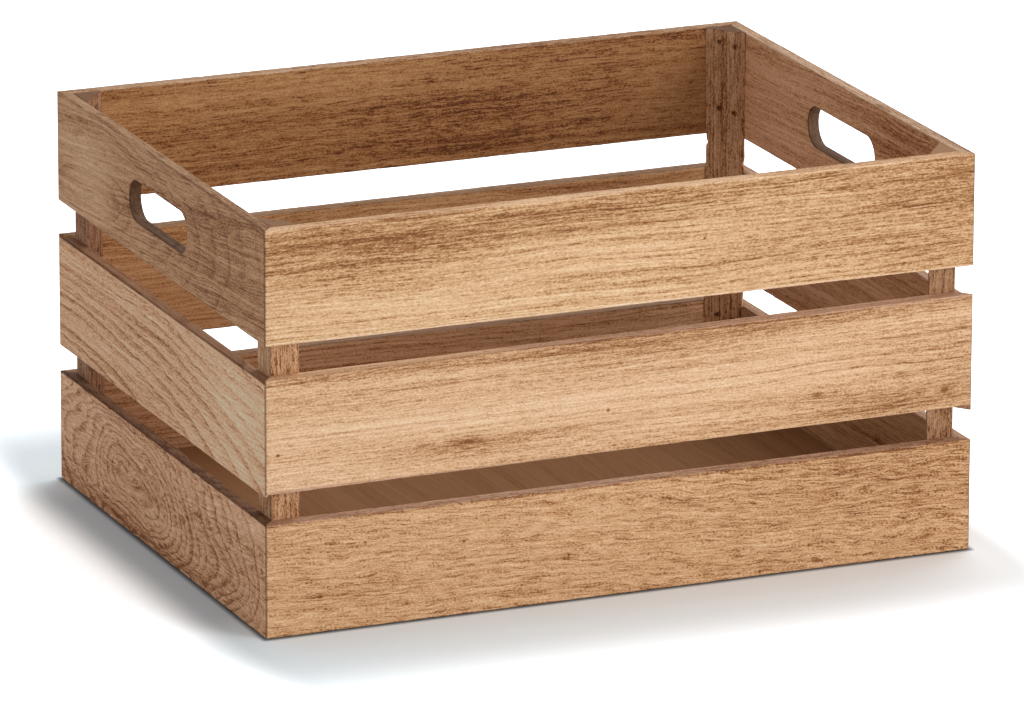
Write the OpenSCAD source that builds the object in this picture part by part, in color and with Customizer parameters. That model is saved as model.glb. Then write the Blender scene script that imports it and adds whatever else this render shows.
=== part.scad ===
// Slatted wooden storage crate. Three tiers of mitred boards go round four
// three-cornered posts, and a thin floor panel lies on cleats near the ground.
// The origin is the middle of the underside, X runs along the long side,
// Y to the back and Z up. All sizes are in millimetres.

/* [Overall] */
// Outside length of the crate, left to right
crate_l = 400; // [300:1:600]
// Outside width of the crate, front to back
crate_w = 303.6; // [220:0.1:450]
// Thickness of the front and back boards
long_board_t = 8.3; // [6.8:0.1:14]
// Thickness of the left and right boards
short_board_t = 6.8; // [6.8:0.1:14]
// Radius of the eased long edges of the boards
edge_ease = 0.5; // [0.3:0.1:2]
// Radius of the eased upright corners of the crate
corner_ease = 0.8; // [0.3:0.1:2]

/* [Tiers] */
// Height of the bottom boards
bottom_h = 61.2; // [40:0.1:90]
// Height of the open gap above the bottom boards
lower_gap = 15.8; // [8:0.1:30]
// Height of the middle boards
middle_h = 61.2; // [40:0.1:90]
// Height of the open gap above the middle boards
upper_gap = 18.6; // [8:0.1:30]
// Height of the top boards
top_h = 60.6; // [50:0.1:90]
// How much higher than even the front middle board was fixed
front_lift = 1.5; // [-3:0.1:3]
// Lean of the front middle board in degrees, right end up
front_lean = 0.36; // [0:0.01:0.6]
// How much higher than even the left middle board was fixed
left_lift = -1.3; // [-3:0.1:3]

/* [Hand Holes] */
// Length of a hand hole, tip to tip
hand_l = 84.5; // [60:0.5:120]
// Height of a hand hole
hand_h = 22.1; // [18:0.1:28]
// Distance from the top of the board down to a hand hole
hand_drop = 19.7; // [12:0.1:22]
// Width of the bevel round the rim of a hand hole
hand_bevel = 0.5; // [0.2:0.1:1.5]

/* [Corner Posts] */
// Width of a post's side that lies against the long boards
post_long_leg = 16; // [12:0.5:30]
// Width of a post's side that lies against the short boards
post_short_leg = 20; // [12:0.5:30]
// Width of the flat along each thin edge of a post
post_blunt = 0.5; // [0.2:0.1:1.5]

/* [Floor] */
// Thickness of the floor panel
floor_t = 4; // [3:0.5:9]
// Space left between the floor panel and what stands round it
floor_clear = 0.4; // [0.2:0.1:1]
// Height of the cleats below the floor panel
cleat_h = 8; // [6:0.5:20]
// Depth of the cleats, measured in from the boards
cleat_d = 8; // [6:0.5:14]
// Space left between the end of a cleat and a post
cleat_end_clear = 1; // [0.3:0.1:5]

/* [Brads] */
// Diameter of a brad
brad_d = 1.2; // [0.8:0.1:1.6]
// Diameter of the head of a brad
brad_head_d = 2; // [1.8:0.1:2.4]
// Thickness of the head of a brad
brad_head_t = 0.6; // [0.3:0.1:1]
// Depth of the head of a brad below the surface, along the brad
brad_sink = 1.2; // [1:0.1:1.8]
// How far a brad reaches into a side board
brad_bite = 5.5; // [3:0.5:6]
// Space between a brad and the wood round it
brad_clear = 0.03; // [0.02:0.01:0.08]
// Distance from the thin edge of a post to the brads of the long boards
long_brad_in = 6; // [5:0.1:8]
// Distance from the thin edge of a post to the brads of the short boards
short_brad_in = 5.6; // [4:0.1:7]
// Distance from the top of a board down to its upper brads
brad_down = 7.1; // [5:0.1:15]
// Distance from the bottom of a board up to its lower brads
brad_up = 15.8; // [6:0.1:20]
// How much lower the brads of the short boards sit
brad_stagger = 1.6; // [0:0.1:4]
// Number of brads along a long cleat
long_cleat_brad_count = 4; // [2:1:8]
// Number of brads along a short cleat
short_cleat_brad_count = 3; // [2:1:6]
// Distance from the end of a cleat to its first brad
cleat_brad_in = 25; // [10:1:60]

/* [Hidden] */

// Wood and metal colours, as seen from the front and from the left
sunny_wood = "#cfa274";
shaded_wood = "#a98668";
inner_wood = "#8f6545";
post_wood = "#a87c58";
floor_wood = "#7d5a40";
steel = "#8c8780";

// Heights of the lower edge and of the board itself, tier by tier
BOTTOM = 0;
MIDDLE = 1;
TOP = 2;
tier_z = [0, bottom_h + lower_gap, bottom_h + lower_gap + middle_h + upper_gap];
tier_h = [bottom_h, middle_h, top_h];
crate_h = tier_z[TOP] + tier_h[TOP];

// The sides: length, distance from the middle, thickness and turn about Z
FRONT = 0;
RIGHT = 1;
BACK = 2;
LEFT = 3;
side_l = [crate_l, crate_w, crate_l, crate_w];
side_depth = [crate_w / 2, crate_l / 2, crate_w / 2, crate_l / 2];
side_t = [long_board_t, short_board_t, long_board_t, short_board_t];
side_turn = [0, 90, 180, 270];
middle_lift = [front_lift, 0, 0, left_lift];
middle_lean = [front_lean, 0, 0, 0];

// The corners, as the signs of X and Y
FRONT_LEFT = [-1, -1];
FRONT_RIGHT = [1, -1];
BACK_LEFT = [-1, 1];
BACK_RIGHT = [1, 1];
side_corners = [
    [FRONT_LEFT, FRONT_RIGHT],
    [FRONT_RIGHT, BACK_RIGHT],
    [BACK_RIGHT, BACK_LEFT],
    [BACK_LEFT, FRONT_LEFT]
];

// Which way a corner brad goes: into the long board or into the short one
INTO_LONG = 0;
INTO_SHORT = 1;
post_leg = [post_long_leg, post_short_leg];
brad_depth = [
    long_brad_in * post_short_leg / post_long_leg,
    short_brad_in * post_long_leg / post_short_leg
];
brad_drop = [0, brad_stagger];

// Half of the inside of the crate along X and Y
inside_x = crate_l / 2 - short_board_t;
inside_y = crate_w / 2 - long_board_t;

// The middle of a hand hole, above the ground
hand_z = crate_h - hand_drop - hand_h / 2;

// Length added to a cutting shape so that it passes clean through
over = 1;
smooth = 32;

// The two brad heights of a tier, upper one first
function brad_heights(tier, way) = [
    tier_z[tier] + tier_h[tier] - brad_down - brad_drop[way],
    tier_z[tier] + brad_up - brad_drop[way]
];

// Which way the brads of a side's boards go
function side_way(side) = side == FRONT || side == BACK ? INTO_LONG : INTO_SHORT;

// Thickness of the boards that a side's boards meet at the corners
function end_t(side) = side_t[(side + 1) % len(side_t)];

// Length of the cleat on a side, between the posts
function cleat_l(side) = side_l[side] - 2 * (end_t(side) + post_leg[side_way(side)] + cleat_end_clear);

// A rectangle with round corners, from [0, 0] to [w, h]
module round_rectangle(w, h, r) {
    translate([r, 0]) square([w - 2 * r, h]);
    translate([0, r]) square([w, h - 2 * r]);
    for (x = [r, w - r], y = [r, h - r])
        translate([x, y]) circle(r = r, $fn = smooth);
}

// Places its children on a side: local X along the side, local Y inwards
module on_side(side) {
    rotate([0, 0, side_turn[side]])
        translate([0, -side_depth[side], 0])
            children();
}

// Places its children in the inside corner: local X goes along the long
// board and local Y along the short board
module at_corner(corner) {
    translate([corner[0] * inside_x, corner[1] * inside_y, 0])
        mirror([corner[0] > 0 ? 1 : 0, 0, 0])
            mirror([0, corner[1] > 0 ? 1 : 0, 0])
                children();
}

// Places its children at each brad of a corner, pointing into the board
module at_corner_brads(corner, tiers, ways) {
    at_corner(corner)
        for (tier = tiers, way = ways, z = brad_heights(tier, way))
            let ($brad_depth = brad_depth[way])
                translate(way == INTO_LONG
                    ? [post_long_leg - long_brad_in, $brad_depth, z]
                    : [$brad_depth, post_short_leg - short_brad_in, z])
                    rotate(way == INTO_LONG ? [90, 0, 0] : [0, -90, 0])
                        children();
}

// Places its children at each brad of a cleat, pointing into the board
module at_cleat_brads(side, count) {
    run = cleat_l(side) - 2 * cleat_brad_in;
    on_side(side)
        for (i = [0:count - 1])
            let ($brad_depth = cleat_d)
                translate([-run / 2 + i * run / (count - 1), side_t[side] + cleat_d, cleat_h / 2])
                    rotate([90, 0, 0])
                        children();
}

// A brad with its head sunk below the surface that it was driven through
module brad() {
    translate([0, 0, brad_sink]) {
        cylinder(d = brad_head_d, h = brad_head_t, $fn = smooth);
        cylinder(d = brad_d, h = $brad_depth + brad_bite - brad_sink, $fn = smooth);
    }
}

// The hole that a driven brad leaves in the wood
module brad_hole() {
    translate([0, 0, -brad_head_d])
        cylinder(
            d = brad_head_d + 2 * brad_clear,
            h = brad_head_d + brad_sink + brad_head_t + brad_clear,
            $fn = smooth
        );
    cylinder(d = brad_d + 2 * brad_clear, h = $brad_depth + brad_bite + brad_clear, $fn = smooth);
}

// A long bar with eased edges: X along it, Y through it
module eased_bar(length, t, h) {
    translate([-length / 2, 0, 0])
        rotate([90, 0, 90])
            linear_extrude(length)
                round_rectangle(t, h, edge_ease);
}

// The upright space that belongs to one side: its ends run from the outer
// corners of the crate to the inner ones
module mitred_space(side) {
    half = side_l[side] / 2;
    t = side_t[side];
    inner = half - end_t(side);
    on_side(side)
        translate([0, 0, -over])
            linear_extrude(crate_h + 2 * over)
                polygon([[-half, 0], [half, 0], [inner, t], [-inner, t]]);
}

// The upright space of the whole crate, with eased corners
module crate_space() {
    translate([-crate_l / 2, -crate_w / 2, -over])
        linear_extrude(crate_h + 2 * over)
            round_rectangle(crate_l, crate_w, corner_ease);
}

// A hand hole through a short board: a slot with round ends and a bevelled rim
module hand_hole() {
    t = short_board_t;
    r = hand_h / 2;
    run = hand_l - hand_h;
    rim_r = r + hand_bevel + over;
    rim_t = hand_bevel + over;
    translate([0, 0, hand_z]) {
        translate([-run / 2, -over, -r]) cube([run, t + 2 * over, hand_h]);
        for (x = [-run / 2, run / 2])
            translate([x, -over, 0])
                rotate([-90, 0, 0])
                    cylinder(r = r, h = t + 2 * over, $fn = 2 * smooth);
        for (x = [-run / 2, run / 2]) {
            translate([x, -over, 0])
                rotate([-90, 0, 0])
                    cylinder(r1 = rim_r, r2 = r, h = rim_t, $fn = 2 * smooth);
            translate([x, t + over, 0])
                rotate([90, 0, 0])
                    cylinder(r1 = rim_r, r2 = r, h = rim_t, $fn = 2 * smooth);
        }
        translate([-run / 2, 0, 0])
            rotate([90, 0, 90])
                linear_extrude(run) {
                    polygon([[-over, -rim_r], [hand_bevel, -r], [hand_bevel, r], [-over, rim_r]]);
                    polygon([
                        [t + over, -rim_r], [t + over, rim_r],
                        [t - hand_bevel, r], [t - hand_bevel, -r]
                    ]);
                }
    }
}

// One of the twelve side boards
module side_board(side, tier) {
    lift = tier == MIDDLE ? middle_lift[side] : 0;
    lean = tier == MIDDLE ? middle_lean[side] : 0;
    length = side_l[side] + 2 * over;
    h = tier_h[tier];
    way = side_way(side);
    wood = side == FRONT ? sunny_wood : side == LEFT ? shaded_wood : inner_wood;
    color(wood)
        difference() {
            intersection() {
                on_side(side)
                    translate([0, 0, tier_z[tier] + lift + h / 2])
                        rotate([0, -lean, 0])
                            translate([0, 0, -h / 2])
                                eased_bar(length, side_t[side], h);
                mitred_space(side);
                crate_space();
            }
            for (corner = side_corners[side])
                at_corner_brads(corner, [tier], [way])
                    brad_hole();
            if (tier == TOP && way == INTO_SHORT)
                on_side(side)
                    hand_hole();
            if (tier == BOTTOM)
                at_cleat_brads(side, way == INTO_LONG ? long_cleat_brad_count : short_cleat_brad_count)
                    brad_hole();
        }
}

// A post with three sides, as of a bar split from corner to corner
module corner_post(corner) {
    tip = post_blunt / 2;
    color(post_wood)
        difference() {
            at_corner(corner)
                linear_extrude(crate_h)
                    polygon([
                        [0, 0], [post_long_leg - tip, 0], [post_long_leg - tip, tip],
                        [tip, post_short_leg - tip], [0, post_short_leg - tip]
                    ]);
            at_corner_brads(corner, [BOTTOM, MIDDLE, TOP], [INTO_LONG, INTO_SHORT])
                brad_hole();
        }
}

// The twelve brads that hold three tiers of boards to one post
module corner_brads(corner) {
    color(steel)
        at_corner_brads(corner, [BOTTOM, MIDDLE, TOP], [INTO_LONG, INTO_SHORT])
            brad();
}

// The floor panel, with its corners cut off to clear the posts
module floor_panel() {
    x = inside_x - floor_clear;
    y = inside_y - floor_clear;
    slant = norm([1 / post_long_leg, 1 / post_short_leg]);
    cut_x = post_long_leg * (1 + floor_clear * (slant - 1 / post_short_leg)) - floor_clear;
    cut_y = post_short_leg * (1 + floor_clear * (slant - 1 / post_long_leg)) - floor_clear;
    color(floor_wood)
        translate([0, 0, cleat_h])
            linear_extrude(floor_t)
                polygon([
                    [-x + cut_x, -y], [x - cut_x, -y], [x, -y + cut_y], [x, y - cut_y],
                    [x - cut_x, y], [-x + cut_x, y], [-x, y - cut_y], [-x, -y + cut_y]
                ]);
}

// A strip along the foot of a bottom board that carries the floor panel
module floor_cleat(side, count) {
    length = cleat_l(side);
    color(inner_wood)
        difference() {
            on_side(side)
                translate([-length / 2, side_t[side], 0])
                    cube([length, cleat_d, cleat_h]);
            at_cleat_brads(side, count)
                brad_hole();
        }
}

// The brads that hold one cleat to its bottom board
module cleat_brads(side, count) {
    color(steel)
        at_cleat_brads(side, count)
            brad();
}

side_board(FRONT, TOP);  // front_top_board
side_board(FRONT, MIDDLE);  // front_middle_board
side_board(FRONT, BOTTOM);  // front_bottom_board
side_board(BACK, TOP);  // back_top_board
side_board(BACK, MIDDLE);  // back_middle_board
side_board(BACK, BOTTOM);  // back_bottom_board
side_board(LEFT, TOP);  // left_top_board
side_board(LEFT, MIDDLE);  // left_middle_board
side_board(LEFT, BOTTOM);  // left_bottom_board
side_board(RIGHT, TOP);  // right_top_board
side_board(RIGHT, MIDDLE);  // right_middle_board
side_board(RIGHT, BOTTOM);  // right_bottom_board
corner_post(FRONT_LEFT);  // front_left_post
corner_post(FRONT_RIGHT);  // front_right_post
corner_post(BACK_LEFT);  // back_left_post
corner_post(BACK_RIGHT);  // back_right_post
corner_brads(FRONT_LEFT);  // front_left_brads
corner_brads(FRONT_RIGHT);  // front_right_brads
corner_brads(BACK_LEFT);  // back_left_brads
corner_brads(BACK_RIGHT);  // back_right_brads
floor_panel();
floor_cleat(FRONT, long_cleat_brad_count);  // front_cleat
floor_cleat(BACK, long_cleat_brad_count);  // back_cleat
floor_cleat(LEFT, short_cleat_brad_count);  // left_cleat
floor_cleat(RIGHT, short_cleat_brad_count);  // right_cleat
cleat_brads(FRONT, long_cleat_brad_count);  // front_cleat_brads
cleat_brads(BACK, long_cleat_brad_count);  // back_cleat_brads
cleat_brads(LEFT, short_cleat_brad_count);  // left_cleat_brads
cleat_brads(RIGHT, short_cleat_brad_count);  // right_cleat_brads
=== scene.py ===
# %% [markdown]
# # A slatted wooden crate, dressed for the camera
# The crate is an open box: twelve thin boards in three tiers, mitred at the
# corners and fixed to four three-cornered posts, with a thin floor panel low
# down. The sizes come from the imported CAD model, which stays as the fixed frame.
# This lesson adds what a photograph shows on top of that: worn edges, wavy
# lower edges, and above all the figure of stained, flat-sawn wood.

# %% Load the frame
import math

import bpy
import numpy as np
from mathutils import Matrix, Vector


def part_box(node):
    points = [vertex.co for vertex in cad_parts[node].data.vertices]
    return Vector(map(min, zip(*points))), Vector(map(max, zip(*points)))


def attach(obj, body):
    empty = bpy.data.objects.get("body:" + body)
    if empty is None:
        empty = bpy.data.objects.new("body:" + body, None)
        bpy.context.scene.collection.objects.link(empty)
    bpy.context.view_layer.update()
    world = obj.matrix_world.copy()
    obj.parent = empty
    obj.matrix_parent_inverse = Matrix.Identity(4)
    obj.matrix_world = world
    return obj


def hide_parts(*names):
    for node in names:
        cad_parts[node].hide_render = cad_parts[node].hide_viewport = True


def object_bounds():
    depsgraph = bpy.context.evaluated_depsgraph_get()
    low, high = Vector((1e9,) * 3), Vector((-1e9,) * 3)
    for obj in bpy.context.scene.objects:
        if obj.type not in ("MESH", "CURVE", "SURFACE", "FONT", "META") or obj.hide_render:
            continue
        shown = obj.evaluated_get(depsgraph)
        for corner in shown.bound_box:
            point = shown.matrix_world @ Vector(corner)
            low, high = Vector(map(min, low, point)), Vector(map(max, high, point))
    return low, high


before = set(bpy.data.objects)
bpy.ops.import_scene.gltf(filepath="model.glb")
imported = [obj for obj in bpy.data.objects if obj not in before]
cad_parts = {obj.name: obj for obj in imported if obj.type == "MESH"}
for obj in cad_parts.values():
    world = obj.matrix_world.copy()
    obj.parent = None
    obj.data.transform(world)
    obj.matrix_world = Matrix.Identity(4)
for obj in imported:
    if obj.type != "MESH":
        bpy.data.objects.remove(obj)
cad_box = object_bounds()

print("loaded", len(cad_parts), "CAD nodes")

# %% [markdown]
# ## The sizes that every board shares
# Nothing is measured twice: the length, width, height and board thickness are
# read from the CAD boxes. Only the small radii of the sanded edges and the lean
# of one board are named here, because a box doesn't hold them.

# %% Sizes
MM = 0.001
half_x, half_y, height = cad_box[1].x, cad_box[1].y, cad_box[1].z


def span(node, axis):
    """How far a CAD node reaches along one axis."""
    low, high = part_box(node)
    return high[axis] - low[axis]


long_thick, short_thick = span("front_top_board", 1), span("left_top_board", 0)
EDGE_ROUND, CORNER_ROUND = 0.5 * MM, 0.8 * MM
ROUND_TURN = np.linspace(0, np.pi / 2, 5)
FRONT_MIDDLE_LEAN = math.radians(0.36)
# For each side: quarter turns about Z, half its length, how far out its face is,
# and how thick its own boards and the next side's boards are.
SIDES = {
    "front": (0, half_x, half_y, long_thick, short_thick),
    "right": (1, half_y, half_x, short_thick, long_thick),
    "back": (2, half_x, half_y, long_thick, short_thick),
    "left": (3, half_y, half_x, short_thick, long_thick),
}
print(f"crate {2 * half_x:.3f} x {2 * half_y:.3f} x {height:.4f} m")
print(f"boards {long_thick / MM:.1f} and {short_thick / MM:.1f} mm thick")

# %% [markdown]
# ## From a board's own directions to the crate's
# Every board is worked out lying along X, with its outer face at depth 0. A
# quarter turn, and not a mirror, brings it to its side, so its faces keep
# pointing outwards. Turning the object itself would look the same, but the
# materials want each piece's place in its mesh.


# %% Placing and meshing
SHARP_FROM = math.radians(40)


def place(side, along, depth, z):
    """Points of a side: along it, inwards from its face, and up, turned to where the side is."""
    turns, _, out, _, _ = SIDES[side]
    x, y = along, depth - out
    for _ in range(turns):
        x, y = -y, x
    return np.stack([x, y, np.broadcast_to(z, x.shape)], -1)


def grid_quads(rows, columns):
    """Quads between neighbours of a grid whose second direction closes on itself."""
    index = np.arange(rows * columns).reshape(rows, columns)
    after = np.roll(index, -1, 1)
    return np.stack([index[:-1], index[1:], after[1:], after[:-1]], -1).reshape(-1, 4)


def bar_faces(rows, columns):
    """Faces of a bar: quads between its outlines, and one face to close each end."""
    last = (rows - 1) * columns
    ends = [list(range(columns)), list(range(last, last + columns))[::-1]]
    return grid_quads(rows, columns).tolist() + ends


def new_piece(name, points, faces, node):
    """A smooth mesh piece that rides on the crate and stands for a CAD node."""
    mesh = bpy.data.meshes.new(name)
    mesh.from_pydata(points.reshape(-1, 3), [], faces)
    mesh.polygons.foreach_set("use_smooth", np.ones(len(mesh.polygons), bool))
    mesh.set_sharp_from_angle(angle=SHARP_FROM)
    piece = bpy.data.objects.new(name, mesh)
    bpy.context.scene.collection.objects.link(piece)
    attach(piece, "root")
    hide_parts(node)
    return piece


print("sides:", ", ".join(SIDES))

# %% [markdown]
# ## Edges that a saw and a hand sander leave
# A sawn edge is never quite straight. Its waves are a few long sines and some
# short dents, and both take wood away. A Displace modifier would push the flat
# faces about as well, so here a formula moves the edges alone: points along the
# edge go in, and how much wood is missing at each comes out.


# %% Wobble of an edge
EDGE_WAVES = ((0.11, 0.4), (0.037, 0.3), (0.013, 0.2), (0.006, 0.1))
FULL_TURN = 6.3
DENT_REACH, DENT_WIDTHS, DENT_SHARES = 0.2, (0.7 * MM, 2 * MM), (0.3, 1.2)


def wobble(seed, at, depth, dents=6):
    """Missing wood: sines, each a length and a share, from 0 to depth, and bell-shaped dents on top."""
    rng = np.random.default_rng(seed)
    wave = np.zeros_like(at)
    for length, share in EDGE_WAVES:
        wave += share * np.sin(2 * np.pi * at / length + rng.uniform(0, FULL_TURN))
    missing = depth * (0.5 + 0.5 * wave)
    centres, widths = rng.uniform(-DENT_REACH, DENT_REACH, dents), rng.uniform(*DENT_WIDTHS, dents)
    for centre, width in zip(centres, widths):
        missing = missing + rng.uniform(*DENT_SHARES) * depth * np.exp(-(((at - centre) / width) ** 2))
    return missing


trial = wobble(1, np.linspace(-half_x, half_x, 400), 0.25 * MM)
print(f"a trial edge loses {trial.min() / MM:.2f} to {trial.max() / MM:.2f} mm")

# %% [markdown]
# ## A plain board
# The section is a rectangle with round edges. It is carried along the board,
# and every point of it stops at its own depth from the corner, which cuts the
# mitre with no boolean. The long boards are thicker than the short ones, so a
# A bottom board may have a corner that has been knocked round. The lower edge
# of the front top board hangs half a millimetre low, and those of the bottom
# boards stand a little clear of the ground, so a dark line shows under them.
# On the front bottom board a painted contact shadow along the lower edge adds to it.


# %% Plain boards
EDGE_LOSS, TOP_EDGE_SHARE = 0.25 * MM, 0.6
NEAR_EDGE = 0.4 * MM
NEAR_MITRE = np.array([0, 0.08, 0.2, 0.4, 0.8, 1.6, 3.0]) * MM
MIDDLE_STARTS, COLUMN_STEP = 4 * MM, 0.7 * MM
FRONT_TOP_HANG, BOTTOM_CLEARANCE = 0.5 * MM, 0.35 * MM
# For each bottom board: which end's lower corner is worn round, and its radius
WORN = {"front": (1, 3.2 * MM), "right": (-1, 3.2 * MM), "back": (1, 4.5 * MM), "left": (-1, 4.5 * MM)}


def board_section(h, t):
    """Depth and height round a board's section: up the outer face, over, down the inner face, under."""
    r, turn = EDGE_ROUND, ROUND_TURN
    rise = np.array([r, r + NEAR_EDGE, h / 3, h / 2, 2 * h / 3, h - r - NEAR_EDGE, h - r])
    top_d, top_z = r - r * np.cos(turn[1:]), h - r + r * np.sin(turn[1:])
    outer = np.stack([np.concatenate([0 * rise, top_d]), np.concatenate([rise, top_z])])
    inner = np.stack([t - outer[0][::-1], outer[1][::-1]])
    under = np.stack([t - r + r * np.cos(turn[1:]), r - r * np.sin(turn[1:])])
    back = np.stack([t - under[0][::-1], under[1][::-1]])
    whole = np.concatenate([outer, inner, under, back[:, :-1]], 1)
    keep = np.append(np.hypot(*np.diff(whole)) > 1e-7, True)
    return whole[:, keep]


def mitre_reach(side, depth):
    """How far along its side a board reaches at a depth: the mitre, stopped at the eased upright corner."""
    _, half, _, t, next_t = SIDES[side]
    slope = next_t / t
    corner_depth = CORNER_ROUND * (1 + slope - math.sqrt(2 * slope)) / (1 + slope**2)
    return half - slope * np.maximum(depth, corner_depth)


def corner_ease(half, along, depth):
    """The crate's upright corners are a small quarter circle: no point lies outside it."""
    reach = np.clip(np.abs(along) - (half - CORNER_ROUND), 0, CORNER_ROUND)
    return np.maximum(depth, CORNER_ROUND - np.sqrt(CORNER_ROUND**2 - reach**2))


def knocked(along, z, half, end, radius):
    """Heights lifted onto a quarter circle where a lower corner of the board is worn round."""
    reach = np.clip(end * along - (half - radius), 0, radius)
    return np.maximum(z, radius - np.sqrt(radius**2 - reach**2))


def plain_board(node, lean=0.0, worn=None, hang=0.0):
    """A mitred board: the section's points times columns along the board, closed by two mitre faces."""
    side = node.split("_")[0]
    _, half, _, t, _ = SIDES[side]
    low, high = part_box(node)
    h = (high.z - low.z - 2 * half * math.tan(lean)) * math.cos(lean)
    d, z = board_section(h, t)
    reach = mitre_reach(side, d)
    middle = np.linspace(-1, 1, int(half / COLUMN_STEP))[1:-1, None] * (reach - MIDDLE_STARTS)
    s = np.concatenate([-(reach - NEAR_MITRE[:, None]), middle, (reach - NEAR_MITRE[::-1, None])])
    seed = sum(map(ord, node))
    up = np.clip(z / h * 2 - 1, -1, 1)[None, :]
    top_loss, low_loss = wobble(seed, s, EDGE_LOSS * TOP_EDGE_SHARE), wobble(seed + 1, s, EDGE_LOSS)
    missing = np.where(up > 0, top_loss, low_loss - hang)
    z = (z[None, :] - up * missing - h / 2) / math.cos(lean) + (low.z + high.z) / 2 + s * math.tan(lean)
    if worn:
        z = knocked(s, z, half, *worn)
    points = place(side, s, corner_ease(half, s, np.broadcast_to(d, s.shape)), z)
    return new_piece(node.replace("_board", "_plank"), points, bar_faces(*s.shape), node)


boards = {}
for side in SIDES:
    if side in ("front", "back"):
        node = f"{side}_top_board"
        boards[node] = plain_board(node, hang=FRONT_TOP_HANG if side == "front" else 0.0)
for side in SIDES:
    node = f"{side}_middle_board"
    boards[node] = plain_board(node, lean=FRONT_MIDDLE_LEAN if side == "front" else 0.0)
for side in SIDES:
    node = f"{side}_bottom_board"
    boards[node] = plain_board(node, worn=WORN[side], hang=-BOTTOM_CLEARANCE)
print("plain boards:", len(boards), "with", sum(len(b.data.polygons) for b in boards.values()), "faces")

# %% [markdown]
# ## A board with a hand hole
# Four fingers go through a slot with round ends. A Boolean could cut it, but it
# leaves long thin faces and a sharp rim. A plate with one hole is a ring, so its
# whole surface is one closed grid. The first direction goes round the hole. The second goes from the hole's wall over
# its bevel, across the outer face, over the board's edge, back across the inner
# face, and into the hole again.

# %% Hand-hole boards
HOLE_LONG, HOLE_HIGH, HOLE_DROP, HOLE_BEVEL = 84.5 * MM, 22.1 * MM, 19.7 * MM, 0.5 * MM
HOLE_RUN = (HOLE_LONG - HOLE_HIGH) / 2
SIDE_POINTS, END_POINTS = 220, 24
FACE_SHARES = (0, 0.05, 0.2, 0.4, 0.6, 0.8, 1.0)
FACE_BORDER, EDGE_INSETS = 3 * MM, np.array([1.6, 0.8, 0.4, 0.2, 0.08]) * MM
HANDLED_TOP_LOSS, HANDLED_LOW_LOSS, EDGE_ZONE = 0.15 * MM, 0.25 * MM, 0.2


def round_the_hole(radius):
    """Points of a slot with round ends, in four stretches that match the four sides of a rectangle."""
    arc = HOLE_HIGH * np.pi / 8
    path = np.linspace(0, 2 * HOLE_RUN + 2 * arc, SIDE_POINTS, endpoint=False)
    angle = np.clip(path / arc - 1, -1, 0) + np.clip((path - arc - 2 * HOLE_RUN) / arc, 0, 1)
    straight = np.clip(path - arc, 0, 2 * HOLE_RUN) - HOLE_RUN
    low = np.stack([straight + radius * np.sin(angle * np.pi / 4), -radius * np.cos(angle * np.pi / 4)], -1)
    short = np.linspace(-np.pi / 4, np.pi / 4, END_POINTS, endpoint=False)
    right = np.stack([HOLE_RUN + radius * np.cos(short), radius * np.sin(short)], -1)
    return np.concatenate([low, right, -low, -right])


def round_the_board(half, bottom, top):
    """The same number of points round a rectangle, starting at its lower left corner."""
    low_x = np.linspace(-half, half, SIDE_POINTS, endpoint=False)
    low = np.stack([low_x, np.full(SIDE_POINTS, bottom)], -1)
    high = np.stack([-low_x, np.full(SIDE_POINTS, top)], -1)
    right = np.stack([np.full(END_POINTS, half), np.linspace(bottom, top, END_POINTS, endpoint=False)], -1)
    left = np.stack([np.full(END_POINTS, -half), np.linspace(top, bottom, END_POINTS, endpoint=False)], -1)
    return np.concatenate([low, right, high, left])


def handled_board(node):
    """Loops from the hole's wall to the board's edge on the outer face, and the same loops on the inner face."""
    side = node.split("_")[0]
    _, half, _, t, _ = SIDES[side]
    low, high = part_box(node)
    hole_z = high.z - HOLE_DROP - HOLE_HIGH / 2
    r, bevel = EDGE_ROUND, HOLE_BEVEL

    def edge_loop(depth, lift, inset=0.0):
        reach = float(mitre_reach(side, depth)) - inset
        loop = round_the_board(reach, low.z - hole_z + lift + inset, high.z - hole_z - lift - inset)
        return np.c_[loop, np.full(len(loop), depth)]

    def hole_loop(depth, out):
        loop = round_the_hole(HOLE_HIGH / 2 + out)
        return np.c_[loop, np.full(len(loop), depth)]

    def half_of(depth_from):
        wall = ((t / 2, 0), (bevel + 0.3 * MM, 0), (bevel, 0), (0.4 * bevel, 0.45 * bevel))
        loops = [hole_loop(depth_from(d), out) for d, out in wall]
        rim, border = hole_loop(depth_from(0), bevel), edge_loop(depth_from(0), r, FACE_BORDER)
        loops += [rim * (1 - share) + border * share for share in FACE_SHARES]
        loops += [edge_loop(depth_from(0), r, inset) for inset in EDGE_INSETS]
        return loops + [edge_loop(depth_from(r - r * math.cos(a)), r - r * math.sin(a)) for a in ROUND_TURN]

    grid = np.stack(half_of(lambda d: d) + half_of(lambda d: t - d)[:0:-1])
    s, z, d = grid[..., 0], grid[..., 1] + hole_z, grid[..., 2]
    up = (z - low.z) / (high.z - low.z) * 2 - 1
    near_edge = np.clip((np.abs(up) - (1 - EDGE_ZONE)) / EDGE_ZONE, 0, 1)
    seed = sum(map(ord, node))
    top_loss, low_loss = wobble(seed, s, HANDLED_TOP_LOSS), wobble(seed + 1, s, HANDLED_LOW_LOSS)
    z = z - near_edge * np.where(up > 0, top_loss, -low_loss)
    points = place(side, s, corner_ease(half, s, d), z).transpose(1, 0, 2)
    around, across = points.shape[:2]
    index = np.arange(around * across).reshape(around, across)
    seam = np.stack([index[-1], index[0], np.roll(index[0], -1), np.roll(index[-1], -1)], -1)
    faces = np.concatenate([grid_quads(around, across), seam])
    return new_piece(node.replace("_board", "_plank"), points, faces.tolist(), node)


for side in ("left", "right"):
    boards[f"{side}_top_board"] = handled_board(f"{side}_top_board")
print("hand-hole boards have", len(boards["left_top_board"].data.polygons), "faces each")

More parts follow.
